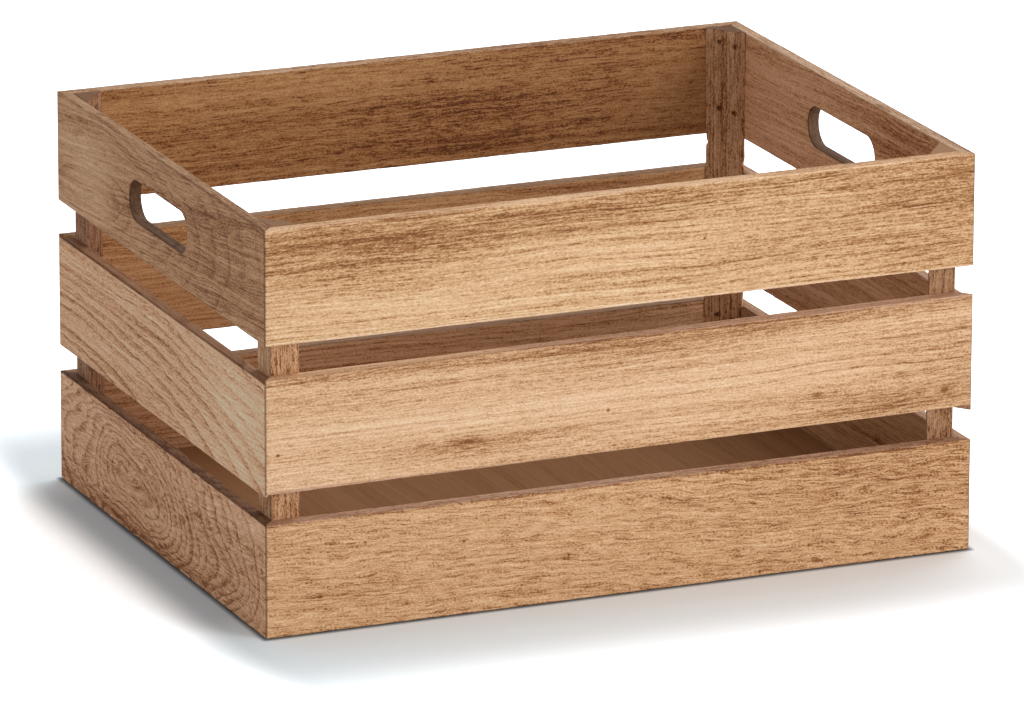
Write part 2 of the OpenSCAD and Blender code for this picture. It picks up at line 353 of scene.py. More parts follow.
# %% [markdown]
# ## Three-sided posts
# A post is a square stick ripped from corner to corner, so it has two square
# faces against the boards and a sawn slope between them. Its thin edges split
# and wave, which a plain prism with a bevel can't show. Each row of the mesh is
# the three-sided outline with its own two tips broken off. The sunk brads leave
# small pits in the slope, and more rows lie there.

# %% Posts
LONG_LEG, SHORT_LEG = span("front_left_post", 0), span("front_left_post", 1)
TIP, TIP_LOSS, TIP_DENTS = 0.25 * MM, 1.2 * MM, 10
POST_ROWS, SLOPE_POINTS, FIRST_POST_SEED = 180, 58, 40
# The brads, as in the CAD: how far in from the tips, below a board's top, above its foot
BRAD_IN = (6.0 * MM, 5.6 * MM)
BRAD_DOWN, BRAD_UP, BRAD_STAGGER = 7.1 * MM, 15.8 * MM, 1.6 * MM
PIT_RADIUS, PIT_DEPTH, PIT_ROWS = 1.0 * MM, 1.15 * MM, np.linspace(-1.4, 1.4, 11) * MM
PIT_RIM, PIT_WALL = 1.35, 0.5


def brad_heights(way):
    """Heights of the six brads of a post that go one way: two for each tier, as in the CAD."""
    heights = []
    for tier in ("top", "middle", "bottom"):
        low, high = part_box(f"back_{tier}_board")
        heights += [high.z - BRAD_DOWN - way * BRAD_STAGGER, low.z + BRAD_UP - way * BRAD_STAGGER]
    return np.array(heights)


def rough_post(name, sign_x, sign_y, seed):
    """The outline at each height: square corner, broken tip, points down the slope, broken tip."""
    long_leg, short_leg = LONG_LEG + TIP, SHORT_LEG + TIP
    rows = [np.linspace(0, height, POST_ROWS)]
    for way in (0, 1):
        rows += [z + PIT_ROWS for z in brad_heights(way)]
    z = np.unique(np.round(np.concatenate(rows) / MM, 2))[:, None] * MM
    lost_x = TIP + wobble(seed, z, TIP_LOSS, TIP_DENTS)
    lost_y = TIP + wobble(seed + 1, z, TIP_LOSS, TIP_DENTS)
    start = np.stack([long_leg - lost_x, lost_x * short_leg / long_leg], -1)
    end = np.stack([lost_y * long_leg / short_leg, short_leg - lost_y], -1)
    share = np.linspace(0, 1, SLOPE_POINTS)[None, :, None]
    slope = start * (1 - share) + end * share
    for way, inset in enumerate(BRAD_IN):
        centre = (long_leg, short_leg)[way] - inset
        for brad_z in brad_heights(way):
            away = np.hypot(slope[..., way] - centre, z - brad_z) / PIT_RADIUS
            slope[..., 1 - way] -= PIT_DEPTH * np.clip((PIT_RIM - away) / PIT_WALL, 0, 1)
    corner = np.zeros((len(z), 1, 2))
    leg_x = np.concatenate([start * part for part in (0.33, 0.66, 1.0)], 1) * [1, 0]
    leg_y = np.concatenate([end * part for part in (1.0, 0.66, 0.33)], 1) * [0, 1]
    outline = np.concatenate([corner, leg_x, slope, leg_y], 1)
    x = sign_x * (half_x - short_thick - outline[..., 0])
    y = sign_y * (half_y - long_thick - outline[..., 1])
    points = np.stack([x, y, np.broadcast_to(z, x.shape)], -1)
    if sign_x * sign_y < 0:
        points = points[:, ::-1]
    return new_piece(f"{name}_stick", points, bar_faces(*x.shape), f"{name}_post")


CORNERS = {"front_left": (-1, -1), "front_right": (1, -1), "back_left": (-1, 1), "back_right": (1, 1)}
posts = {}
for i, (name, signs) in enumerate(CORNERS.items()):
    posts[name] = rough_post(name, *signs, FIRST_POST_SEED + 2 * i)
print("posts:", len(posts), "with", len(posts["front_left"].data.polygons), "faces each")

# %% [markdown]
# ## A pen for node trees
# A wood material is a long sum. Written as plain nodes it would fill pages, so
# this small helper adds a node and gives back its output, and a formula then
# reads almost like arithmetic.


# %% Node pen
class Pen:
    """Adds shader nodes to one material. Each method returns the new node's output socket."""

    def __init__(self, name):
        self.material = bpy.data.materials.new(name)
        self.material.use_nodes = True
        self.tree = self.material.node_tree
        self.shader = self.tree.nodes["Principled BSDF"]

    def put(self, socket, value):
        if isinstance(value, bpy.types.NodeSocket):
            self.tree.links.new(value, socket)
        elif value is not None:
            socket.default_value = value

    def node(self, kind, values=(), **options):
        made = self.tree.nodes.new(kind)
        for key, value in options.items():
            setattr(made, key, value)
        for socket, value in zip(made.inputs, values):
            self.put(socket, value)
        return made

    def place(self):
        """Where a point lies on the object, in metres."""
        return self.node("ShaderNodeTexCoord").outputs["Object"]

    def sum(self, operation, a, b=None, c=None):
        return self.node("ShaderNodeMath", (a, b, c), operation=operation).outputs[0]

    def vector(self, operation, a, b=None):
        made = self.node("ShaderNodeVectorMath", operation=operation)
        self.put(made.inputs[0], a)
        self.put(made.inputs[1], b)
        return made.outputs["Value" if operation == "LENGTH" else "Vector"]

    def join(self, x, y, z):
        return self.node("ShaderNodeCombineXYZ", (x, y, z)).outputs[0]

    def split(self, vector):
        return self.node("ShaderNodeSeparateXYZ", (vector,)).outputs[:]

    def noise(self, vector, scales, detail=2.0, rough=0.5):
        made = self.node("ShaderNodeTexNoise", noise_dimensions="3D")
        self.put(made.inputs["Vector"], self.vector("MULTIPLY", vector, scales))
        made.inputs["Scale"].default_value = 1.0
        made.inputs["Detail"].default_value = detail
        made.inputs["Roughness"].default_value = rough
        return made.outputs[0]

    def add_part(self, base, value, middle, strength):
        """base + (value - middle) * strength"""
        return self.sum("MULTIPLY_ADD", self.sum("SUBTRACT", value, middle), strength, base)

    def step(self, value, start, end, low=0.0, high=1.0):
        """Low before start, high after end, and a smooth change between them."""
        made = self.node("ShaderNodeMapRange", (value, start, end, low, high), interpolation_type="SMOOTHSTEP")
        return made.outputs[0]

    def hill(self, u, v, at_u, at_v, size_u, size_v):
        """A smooth hill, 1 at its top: e to the power of minus the squared, scaled distance."""
        du = self.sum("MULTIPLY", self.sum("SUBTRACT", u, at_u), 1 / size_u)
        dv = self.sum("MULTIPLY", self.sum("SUBTRACT", v, at_v), 1 / size_v)
        squared = self.sum("MULTIPLY_ADD", du, du, self.sum("MULTIPLY", dv, dv))
        return self.sum("POWER", math.e, self.sum("MULTIPLY", squared, -1.0))

    def add_hills(self, base, u, v, hills):
        """base + the hills, each given by its place, its two sizes and its height."""
        for *shape, high in hills:
            base = self.sum("MULTIPLY_ADD", self.hill(u, v, *shape), high, base)
        return base

    def mix(self, share, a, b):
        made = self.node("ShaderNodeMix", data_type="RGBA")
        self.put(made.inputs[0], share)
        self.put(made.inputs[6], a)
        self.put(made.inputs[7], b)
        return made.outputs[2]

    def ramp(self, value, stops):
        made = self.node("ShaderNodeValToRGB", (value,))
        band = made.color_ramp
        while len(band.elements) < len(stops):
            band.elements.new(0.5)
        for element, (at, colour) in zip(band.elements, stops):
            element.position = at
            element.color = colour
        return made.outputs[0]


def srgb(r, g, b):
    """A colour as a picture shows it, 0 to 255, turned into the light values that shaders use."""
    c = np.array([r, g, b]) / 255
    return (*np.where(c > 0.04045, ((c + 0.055) / 1.055) ** 2.4, c / 12.92).tolist(), 1.0)


print("a mid brown as light values:", [round(v, 3) for v in srgb(180, 130, 90)[:3]])

# %% [markdown]
# ## Stains
# Stained wood darkens in its own way: blue goes first, then green, then red, so
# a dark fibre is also a redder one. Two mixed colours would miss that. Each board
# has one picture colour, and five shades of it make a ramp from pale wood to a
# nearly black pore.

# %% Stains
SHADES = ((-0.38, 1.75), (0.0, 1.38), (0.4, 1.0), (0.75, 0.52), (1.05, 0.22))
FADE = np.array([0.76, 1.14, 1.65])
PALEST = 0.95
# A ramp only runs from 0 to 1, so darkness is scaled and shifted into that range.
STAIN_SCALE, STAIN_ZERO = 0.65, 0.25


def stain(tone):
    """Shades round one picture colour. Each is the colour times its share to the power of FADE."""
    middle = np.array(srgb(*tone)[:3])
    stops = []
    for darkness, share in SHADES:
        shade = np.clip(middle * share**FADE, 0, PALEST)
        stops.append((max(darkness * STAIN_SCALE + STAIN_ZERO, 0.0), (*shade.tolist(), 1.0)))
    return stops


print("shades in a stain:", len(stain((200, 150, 110))))

# %% [markdown]
# ## Yearly rings
# A board is a slice of a tree. Its dark lines are where the slice cuts the
# yearly rings. A picture of a board could be laid on, but it would repeat, and
# stretch over the edges. Here the lines are the level lines of one number in
# space: the distance from the tree's middle, stretched along the trunk and bent
# by slow and quick waves. A knot pushes the rings aside, which is a hill added
# to that number.

# %% Ring lines
# Each noise: waves in a millimetre along, across and through the board, then detail and roughness.
BEND = ((0.008, 0.03, 0.03), 2.0)
RIPPLE = ((0.05, 0.16, 0.16), 2.0)
RING_GAPS = ((0.9, 1.0, 1.0), 1.0)
RING_FALL, FAINTEST_RING = 0.86, 0.3
# How far one step of a board's seed moves its noises, so no two boards are alike
BEND_SEED, RING_SEED = (371.3, 53.7, 17.1), 3.1


def bent_grain(pen, grain, seed, slope, wander, ripple):
    """Across = v + slope times u + a slow wave + a quick wave. Gives across, and the quick wave by itself."""
    u, v, _ = pen.split(grain)
    shifted = pen.vector("ADD", grain, tuple(seed * step for step in BEND_SEED))
    slow = pen.sum("SUBTRACT", pen.noise(shifted, *BEND), 0.5)
    quick = pen.sum("SUBTRACT", pen.noise(shifted, *RIPPLE), 0.5)
    across = pen.sum("MULTIPLY_ADD", u, slope, v)
    across = pen.sum("MULTIPLY_ADD", slow, 2 * wander, pen.sum("MULTIPLY_ADD", quick, 2 * ripple, across))
    return across, quick


def ring_lines(pen, grain, across, pith, stretch, pith_depth, knots, gap, line_power, seed):
    """Years = distance from the tree's middle, pushed by the knots, over the gap, made uneven by a noise.
    Within a year the line grows as the year's share to a power, then falls off fast. Years differ in strength."""
    u, v, w = pen.split(grain)
    far_u = pen.sum("MULTIPLY", pen.sum("SUBTRACT", u, pith[0]), stretch)
    from_pith = pen.join(far_u, pen.sum("SUBTRACT", across, pith[1]), pen.sum("ADD", w, pith_depth))
    years = pen.sum("DIVIDE", pen.add_hills(pen.vector("LENGTH", from_pith), u, v, knots), gap)
    years = pen.sum("ADD", years, pen.noise(pen.join(years, seed * RING_SEED, 0.0), *RING_GAPS))
    share = pen.sum("FRACT", years)
    line = pen.sum("MULTIPLY", pen.sum("POWER", share, line_power), pen.step(share, 1.0, RING_FALL))
    year = pen.node("ShaderNodeTexWhiteNoise", (None, pen.sum("FLOOR", years)), noise_dimensions="1D").outputs[0]
    return pen.sum("MULTIPLY", line, pen.sum("MULTIPLY_ADD", year, 1 - FAINTEST_RING, FAINTEST_RING))


print("faintest ring:", FAINTEST_RING, "of the darkest")

# %% [markdown]
# ## Fibres and pores
# Between the rings, wood is long fibres and open pores, and both drink the
# stain. One noise stretched along the grain by different amounts gives them
# all: long fibres, short dashes, fine specks, and small pores that come in
# patches. It is read at the bent place across the board and not at the straight
# one, so it follows the rings.

# %% Fibres and pores
BROAD = ((0.004, 0.06, 0.06), 2.0, 0.5)
FIBRE = ((0.007, 0.7, 0.7), 3.0, 0.65)
DASH = ((0.11, 1.2, 1.2), 2.0, 0.7)
SPECK = ((0.75, 1.6, 1.6), 0.0)
PORE = ((0.12, 0.8, 0.8), 1.0)
PATCH = ((0.02, 0.08, 0.08), 2.0)
CROSS = ((0.11, 0.5, 0.5), 2.0, 0.5)
GRAIN_SEED = (91.0, 33.0, 7.0)
PORE_RANGE, PATCH_RANGE, PORES_FEWEST = (0.34, 0.2), (0.40, 0.62), 0.25
SPECK_STRENGTH, DASH_STRENGTH, DASH_IN_DARK, DARK_RANGE = -0.8, -0.9, -0.7, (0.1, 0.8)


def grain_noises(pen, grain, across, seed):
    """The bent place, and at it the fibres, the pores and the patches where pores are many."""
    u, _, w = pen.split(grain)
    tread = pen.vector("ADD", pen.join(u, across, w), tuple(seed * step for step in GRAIN_SEED))
    pore, patch = pen.step(pen.noise(tread, *PORE), *PORE_RANGE), pen.step(pen.noise(tread, *PATCH), *PATCH_RANGE)
    return tread, pen.noise(tread, *FIBRE), pore, patch


def fine_grain(pen, dark, tread, pore, patch, grit, pores):
    """Darkness + specks + dashes, which are stronger in dark wood, + pores, which are fewer outside the patches."""
    dark = pen.add_part(dark, pen.noise(tread, *SPECK), 0.5, SPECK_STRENGTH * grit)
    coarse = pen.sum("MULTIPLY_ADD", pen.step(dark, *DARK_RANGE), DASH_IN_DARK * grit, DASH_STRENGTH * grit)
    dark = pen.add_part(dark, pen.noise(tread, *DASH), 0.5, coarse)
    often = pen.sum("MULTIPLY_ADD", patch, 1 - PORES_FEWEST, PORES_FEWEST)
    return pen.sum("MULTIPLY_ADD", pen.sum("MULTIPLY", pore, often), pores, dark)


print("noises in the grain:", len((BROAD, FIBRE, DASH, SPECK, PORE, PATCH, CROSS)))

# %% [markdown]
# ## Edge tones, painted shade on the left side, and end grain
# A board's top and bottom faces take their own tones, and the cut ends and the
# hole's wall drink more of the stain. A dark line runs along each board's upper
# outer edge. On the left side it lies on the top face and is painted shade, and
# the dark top faces of the left middle and bottom boards are their own tone
# darkened by painted shade. The board's sides could be separate material slots,
# but the change would then be a hard line. Here each is a soft step in the
# distance from the board's middle.

# %% Worn edges and end grain
RIM_BAND, END_BAND, WALL_BAND = (0.7, 0.3), (0.8, 0.3), (0.9, 0.3)
ARRIS_SIZE, ARRIS_IN_PATCHES = 0.6, 0.6


def dark_arris_line(pen, dark, v, out, patch, half_size, arris):
    """Darkness + a narrow hill along the board's upper outer edge, stronger in the patches."""
    inset_v, inset_w, strength = arris
    mark = pen.hill(v, out, half_size[0] - inset_v, half_size[1] - inset_w, ARRIS_SIZE, ARRIS_SIZE)
    # How dark the line is, more in the patches; on the left side this darkness is painted shade on the top face.
    worn = pen.sum("MULTIPLY_ADD", patch, strength * ARRIS_IN_PATCHES, strength * (1 - ARRIS_IN_PATCHES))
    return pen.sum("MULTIPLY_ADD", mark, worn, dark)


def edge_colours(pen, colour, dark, grain, quick, half_high, rim, hole, ends):
    """The board's colour, changed where a point is near the rims, in the hole, or near the ends."""
    u, v, _ = pen.split(grain)
    if rim:
        near = pen.step(pen.sum("ABSOLUTE", v), *(half_high - inset for inset in RIM_BAND))
        colour = pen.mix(near, colour, pen.ramp(dark, stain(rim)))
    if hole:
        at_v, radius, wall_tone = hole
        beyond = pen.sum("MAXIMUM", pen.sum("SUBTRACT", pen.sum("ABSOLUTE", u), HOLE_RUN / MM), 0.0)
        from_middle = pen.vector("LENGTH", pen.join(beyond, pen.sum("SUBTRACT", v, at_v), 0.0))
        near = pen.step(from_middle, *(radius + out for out in WALL_BAND))
        colour = pen.mix(near, colour, pen.ramp(dark, stain(wall_tone)))
    if ends:
        reach, tint, strength = ends
        wavy = pen.sum("ADD", pen.sum("ABSOLUTE", u), pen.sum("MULTIPLY", quick, 0.5))
        near = pen.step(wavy, *(reach - inset for inset in END_BAND))
        colour = pen.mix(pen.sum("MULTIPLY", near, strength), colour, srgb(*tint))
    return colour


print(f"rims change within {RIM_BAND[0] - RIM_BAND[1]:.1f} mm")

# %% [markdown]
# ## The whole wood material
# Everything is added up to one darkness, and the ramp of shades turns that into
# colour. So a dark ring, a dark fibre and a stained patch all take the same
# hue, as they do under one coat of stain. The fibres and pores also change the
# sheen a little and make a shallow bump.

# %% Wood material
PLAIN_DARKNESS = 0.35
SHEEN, SHEEN_CHANGE, PORE_ROUGHER = 0.3, 0.3, 0.12
BUMP_DISTANCE, PORE_SINK = 0.4 * MM, -0.6


def wood(
    name, axes, centre, tone, half_size=None, outward=1, pith=(0.0, -60.0), stretch=0.15, pith_depth=6.0,
    gap=6.0, wander=6.0, ripple=0.6, rings=0.3, line_power=5.0, bands=0.35, fibres=0.8, grit=1.0, pores=0.25,
    knots=(), stains=(), lines=(), rim=None, arris=None, ends=None, hole=None, seed=0.0, rough=0.62,
    slope=0.0, cross=0.0, bump=0.25,
):
    """Stained wood. All lengths are in millimetres, measured from the board's centre: u along, v across, w through.
    Darkness = broad bands + ring lines + fibres + cross waves + stains + specks + dashes + pores + the dark arris."""
    pen = Pen(name)
    xyz = pen.split(pen.vector("MULTIPLY", pen.place(), (1000, 1000, 1000)))
    grain = pen.vector("SUBTRACT", pen.join(*(xyz["xyz".index(a)] for a in axes)), centre)
    u, v, w = pen.split(grain)
    across, quick = bent_grain(pen, grain, seed, slope, wander, ripple)
    line = ring_lines(pen, grain, across, pith, stretch, pith_depth, knots, gap, line_power, seed)
    tread, fibre, pore, patch = grain_noises(pen, grain, across, seed)

    dark = pen.add_part(PLAIN_DARKNESS, pen.noise(tread, *BROAD), 0.5, 2 * bands)
    dark = pen.sum("MULTIPLY_ADD", line, rings, dark)
    dark = pen.add_part(dark, fibre, 0.5, 2 * fibres)
    if cross:
        dark = pen.add_part(dark, pen.noise(tread, *CROSS), 0.5, 2 * cross)
    dark = pen.add_hills(pen.add_hills(dark, u, v, stains), u, across, lines)
    dark = fine_grain(pen, dark, tread, pore, patch, grit, pores)
    if arris:
        dark = dark_arris_line(pen, dark, v, pen.sum("MULTIPLY", w, outward), patch, half_size, arris)
    dark = pen.sum("MULTIPLY_ADD", dark, STAIN_SCALE, STAIN_ZERO)

    half_high = half_size[0] if half_size else None
    colour = edge_colours(pen, pen.ramp(dark, stain(tone)), dark, grain, quick, half_high, rim, hole, ends)
    pen.put(pen.shader.inputs["Base Color"], colour)
    gloss = pen.add_part(rough, fibre, 0.5, SHEEN_CHANGE)
    pen.put(pen.shader.inputs["Roughness"], pen.sum("MULTIPLY_ADD", pore, PORE_ROUGHER, gloss))
    pen.shader.inputs["Specular IOR Level"].default_value = SHEEN
    bumped = pen.node("ShaderNodeBump")
    bumped.inputs["Strength"].default_value = bump
    bumped.inputs["Distance"].default_value = BUMP_DISTANCE
    pen.put(bumped.inputs["Height"], pen.sum("MULTIPLY_ADD", pore, PORE_SINK, fibre))
    pen.put(pen.shader.inputs["Normal"], bumped.outputs[0])
    return pen.material


def dress(piece, material):
    """Gives a piece its one material."""
    piece.data.materials.clear()
    piece.data.materials.append(material)


print("plain wood has darkness", PLAIN_DARKNESS)

# %% [markdown]
# ## A slice for each board
# The boards come from different logs, and the one finish shows them all in its
# own way: nearly straight lines on the front, bold arches on the left side,
# dark ripples inside. So each board gets its own cut through the rings. A
# stain, a line or a knot is a hill: its place along and across the board, its
# two sizes, and its strength. A small, strong one is a dark speck.

# %% Board materials
# A hill this long reaches along the whole board.
FULL = 400
END_JOINT, END_JOINT_STRENGTH = (84, 56, 40), 0.6
HOLE_WALL = (104, 72, 47)
CUTS = {
    "front_top_board": dict(
        tone=(220, 175, 128), rim=(221, 177, 135), pith=(0, -260), wander=4, seed=1.0, rings=0.25, gap=9,
        stains=(
            (-150, 14, 75, 13, 0.44), (-30, 23, 90, 7, 0.24), (60, 24, 200, 7, 0.1), (0, -20, 260, 9, -0.14),
            (45, 1, 0.9, 0.7, 0.9), (190, 0, 120, 50, 0.26), (-60, -12, 90, 12, -0.1),
            (0, 29.6, FULL, 0.5, -0.35), (0, -30, FULL, 0.5, -0.25),
        ),
        lines=((80, -13, 130, 0.7, 0.3), (60, -18, 150, 0.7, 0.25)),
    ),
    "front_middle_board": dict(
        tone=(223, 179, 136), rim=(200, 154, 120), pith=(0, 300), wander=4, seed=2.0, rings=0.45, gap=7,
        fibres=0.5, grit=0.9, slope=-math.tan(FRONT_MIDDLE_LEAN),
        stains=(
            (190, 0, 80, 50, 0.1), (0, 27, 260, 3.5, 0.34), (-88, -17, 60, 7, 0.22), (-88, -15.5, 9, 3.5, 0.25),
            (110, -13, 2.5, 1.6, 0.4), (121, -13, 2, 1.4, 0.3), (160, -24, 50, 5, 0.3), (0, -2, 260, 11, -0.14),
            (184, -19, 2, 1.5, 0.5), (-193, -11, 0.9, 0.8, 0.9), (-9, -8, 0.9, 0.8, 0.9),
        ),
        knots=((-88, -15.5, 12, 4.5, 22), (-70, -17, 7, 3, 10), (110, -13, 5, 3.5, 16), (121, -13, 4, 3, 12)),
    ),
    "front_bottom_board": dict(
        tone=(209, 161, 115), rim=(190, 144, 112), pith=(-60, -400), wander=5, seed=3.0, rings=0.12, gap=10,
        ripple=2.4, cross=0.38, bands=0.25, fibres=0.55, grit=1.3, pores=0.4, slope=0.05,
        stains=(
            # The dark hill at -30.5 along the whole board is a painted contact shadow on the lower edge.
            (190, 0, 110, 60, 0.2), (0, -30.5, FULL, 0.45, 0.7), (-145, 15, 0.9, 0.8, 0.9),
            (-90, 9, 0.9, 0.8, 0.9), (-170, -11, 0.9, 0.8, 0.9),
        ),
    ),
    "left_top_board": dict(
        tone=(197, 147, 104), rim=(163, 122, 85), pith=(105, -6), stretch=0.3, seed=4.0, rings=0.4,
        pith_depth=4, bands=0.45, wander=7, line_power=3, slope=0.08,
        stains=((105, -6, 44, 20, -0.36), (60, -10, 14, 20, 0.12), (-90, 0, 60, 24, 0.15)),
    ),
    # The dark rim tones of the left middle and bottom boards are their own colour darkened by painted shade on their
    # top faces.
    "left_middle_board": dict(
        tone=(240, 187, 144), rim=(146, 102, 70), pith=(129, -39), stretch=0.18, seed=5.0, rings=0.85,
        wander=5.5, ripple=1.3, fibres=0.6, bands=0.25, line_power=3.5, grit=0.9,
        stains=((-120, 0, 55, 45, -0.24),),
    ),
    "left_bottom_board": dict(
        tone=(223, 170, 128), rim=(124, 84, 56), pith=(54, -1), stretch=0.4, seed=6.0, rings=0.8, gap=4.0,
        wander=13, ripple=3.8, fibres=0.5, cross=0.3, line_power=2.5, grit=1.3, bands=0.5,
        stains=((0, -27, 200, 4, 0.2), (115, 4, 50, 26, -0.17)),
        knots=((105, 6, 26, 14, 9), (8, -8, 30, 15, -8), (-62, 10, 38, 14, 7), (-112, -12, 30, 12, -7)),
    ),
    "back_top_board": dict(
        tone=(168, 117, 69), rim=(176, 134, 98), pith=(40, 130), stretch=0.1, seed=7.0, rings=0.25, gap=12,
        wander=5, ripple=1.6, cross=0.5, fibres=0.9, bands=0.45, grit=1.5,
        stains=(
            (118, 6, 18, 14, 0.3), (-150, 16, 60, 10, -0.15), (0, -14, 200, 12, 0.12), (42, 4, 46, 30, 0.24),
            (-52, 6, 40, 26, -0.08), (158, -4, 34, 22, -0.2),
        ),
        lines=((26, 9, 36, 0.6, 0.4),),
    ),
    "back_middle_board": dict(
        tone=(203, 153, 104), rim=(176, 134, 98), pith=(0, -200), seed=8.0, gap=9, bands=0.45, ripple=1.2,
    ),
    "back_bottom_board": dict(tone=(208, 160, 118), rim=(176, 134, 98), pith=(0, 200), seed=9.0, gap=9),
    "right_top_board": dict(
        tone=(219, 167, 124), rim=(195, 158, 126), pith=(0, -220), seed=10.0, gap=9, bands=0.3, slope=0.03,
        stains=((-95, 18, 60, 24, 0.2), (85, 0, 60, 40, -0.1)),
    ),
    "right_middle_board": dict(
        tone=(199, 151, 111), rim=(196, 154, 124), pith=(0, 220), seed=11.0, gap=9, bands=0.3,
    ),
    "right_bottom_board": dict(
        tone=(180, 140, 103), rim=(190, 150, 118), pith=(0, 320), seed=12.0, gap=9, bands=0.3,
    ),
}
OUTWARD = {"front": -1, "right": 1, "back": 1, "left": -1}
# For each side: how far its dark arris line lies in from the edge and the face, and how dark it is. On the left side
# it lies on the top face and is painted shade.
ARRIS = {"front": (0.9, 0.1, 0.45), "left": (0.1, 0.9, 0.6), "right": (0.1, 0.9, 0.3), "back": (0.9, 0.1, 0.3)}
GRAIN_AXES = {"front": "xzy", "back": "xzy", "left": "yzx", "right": "yzx"}

for node, cut in CUTS.items():
    side, tier, _ = node.split("_")
    low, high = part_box(node)
    middle, half = (low + high) / 2 / MM, (high - low) / 2 / MM
    axes = GRAIN_AXES[side]
    pick = ["xyz".index(a) for a in axes]
    half_high = half.z
    if node == "front_middle_board":
        half_high -= half.x * math.tan(FRONT_MIDDLE_LEAN)
    hole = None
    if tier == "top" and side in ("left", "right"):
        hole = (half.z - (HOLE_DROP + HOLE_HIGH / 2) / MM, HOLE_HIGH / MM / 2, HOLE_WALL)
    material = wood(
        node, axes, [middle[i] for i in pick], half_size=(half_high, half[pick[2]]), outward=OUTWARD[side],
        arris=ARRIS[side], hole=hole, ends=(half[pick[0]], END_JOINT, END_JOINT_STRENGTH), **cut,
    )
    dress(boards[node], material)
print("board materials:", len(CUTS))

# %% [markdown]
# ## Posts
# The posts are sawn and never planed, so their fibres stand up and their grain
# runs upwards. Each has its own tone, and its end grain, which drinks more of
# the stain, its own colour. The sunk brads leave dark dots.

# %% Post materials
POST_TONES = {
    "front_left": (194, 146, 105), "front_right": (161, 118, 82),
    "back_left": (170, 124, 92), "back_right": (190, 142, 103),
}
POST_ENDS = {
    "front_left": (132, 96, 66), "front_right": (160, 118, 84),
    "back_left": (120, 84, 58), "back_right": (92, 62, 42),
}
POST_STAINS = {
    "back_right": ((0, -6, FULL, 5, -0.12), (0, 7, FULL, 5, 0.14)),
    "front_left": ((-45, 0, 20, 40, 0.14),),
}
POST_END_MARGIN, POST_END_STRENGTH, FIRST_POST_WOOD = 0.3, 0.85, 20.0
DOT = (1.25, 0.85, 1.4)


def brad_dots(sign_x, middle_z):
    """Dark dots where the sunk brads are, as stains: height, place across the post, two sizes, strength."""
    long_leg, short_leg = LONG_LEG + TIP, SHORT_LEG + TIP
    dots = []
    for way, inset in enumerate(BRAD_IN):
        across = LONG_LEG / 2 - (long_leg - inset if way == 0 else long_leg * inset / short_leg)
        dots += [(z / MM - middle_z, sign_x * across / MM, *DOT) for z in brad_heights(way)]
    return tuple(dots)


for i, (name, tone) in enumerate(POST_TONES.items()):
    low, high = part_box(f"{name}_post")
    middle = (low + high) / 2 / MM
    material = wood(
        f"{name}_post", "zxy", (middle.z, middle.x, middle.y), tone, pith=(0, -70), seed=FIRST_POST_WOOD + i,
        gap=4, wander=2, fibres=1.0, grit=1.6, cross=0.5, bands=0.5, rough=0.8, bump=0.6,
        stains=POST_STAINS.get(name, ()) + brad_dots(CORNERS[name][0], middle.z),
        ends=(height / MM / 2 + POST_END_MARGIN, POST_ENDS[name], POST_END_STRENGTH),
    )
    dress(posts[name], material)
print("post materials:", len(POST_TONES))

# %% [markdown]
# ## Floor, cleats and brads
# The floor is smooth plywood, with its grain from front to back. The cleats
# under it are sawn strips. The brads are dull steel with brown spots. These
# pieces keep the CAD's own meshes.

# %% Other materials
STEEL, BROWN_SPOT, SPOT_SCALE = (150, 146, 140), (96, 82, 70), (2500, 2500, 2500)
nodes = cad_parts
dress(nodes["floor_panel"], wood(
    "floor_panel", "yxz", (0, 0, 10), (137, 95, 58), pith=(0, -500), seed=30.0, rings=0.2, gap=14, wander=8,
    bands=0.25, fibres=0.3, grit=0.3, pores=0.2, bump=0.1,
))
for side in SIDES:
    dress(nodes[f"{side}_cleat"], wood(
        f"{side}_cleat", GRAIN_AXES[side], (0, 4, 0), (176, 130, 94), pith=(0, -90), seed=31.0, gap=4,
        rough=0.8, bump=0.5,
    ))
steel = Pen("brad_steel")
spots = steel.noise(steel.place(), SPOT_SCALE, 3.0)
steel.put(steel.shader.inputs["Base Color"], steel.ramp(spots, ((0.3, srgb(*STEEL)), (0.7, srgb(*BROWN_SPOT)))))
steel.shader.inputs["Metallic"].default_value = 1.0
steel.put(steel.shader.inputs["Roughness"], steel.step(spots, 0.3, 0.7, 0.3, 0.6))
brads = [piece for node, piece in nodes.items() if node.endswith("_brads")]
for piece in brads:
    dress(piece, steel.material)
print("CAD pieces dressed:", 1 + len(SIDES) + len(brads))

# %% [markdown]
# ## Camera
# The camera stands where the photographer stood. Its place, its three angles
# and its lens come from fitting the crate's straight edges in the photograph.
# The angles give the directions to the right, up and ahead, which are the
# columns of the camera's matrix.

# %% Camera
CAMERA_AT, FOCAL_PIXELS, PHOTO_WIDTH, SENSOR = (-1.8213, -4.2893, 1.4632), 9104.6, 1024, 36.0
camera = bpy.data.objects.new("camera", bpy.data.cameras.new("camera"))
bpy.context.scene.collection.objects.link(camera)
azimuth, elevation, roll = math.radians(23.02), math.radians(16.41), math.radians(0.155)
level = math.cos(elevation)
look = np.array([math.sin(azimuth) * level, math.cos(azimuth) * level, -math.sin(elevation)])
right = np.array([math.cos(azimuth), -math.sin(azimuth), 0.0])
up = np.cross(right, look)
right, up = right * math.cos(roll) + up * math.sin(roll), up * math.cos(roll) - right * math.sin(roll)
turn = np.eye(4)
turn[:3, 0], turn[:3, 1], turn[:3, 2], turn[:3, 3] = right, up, -look, CAMERA_AT
camera.matrix_world = Matrix(turn)
camera.data.sensor_width = SENSOR
camera.data.lens = FOCAL_PIXELS * SENSOR / PHOTO_WIDTH
camera.data.clip_end = 50.0
bpy.context.scene.camera = camera
print(f"lens {camera.data.lens:.1f} mm, {np.hypot(*CAMERA_AT[:2]):.2f} m from the crate")
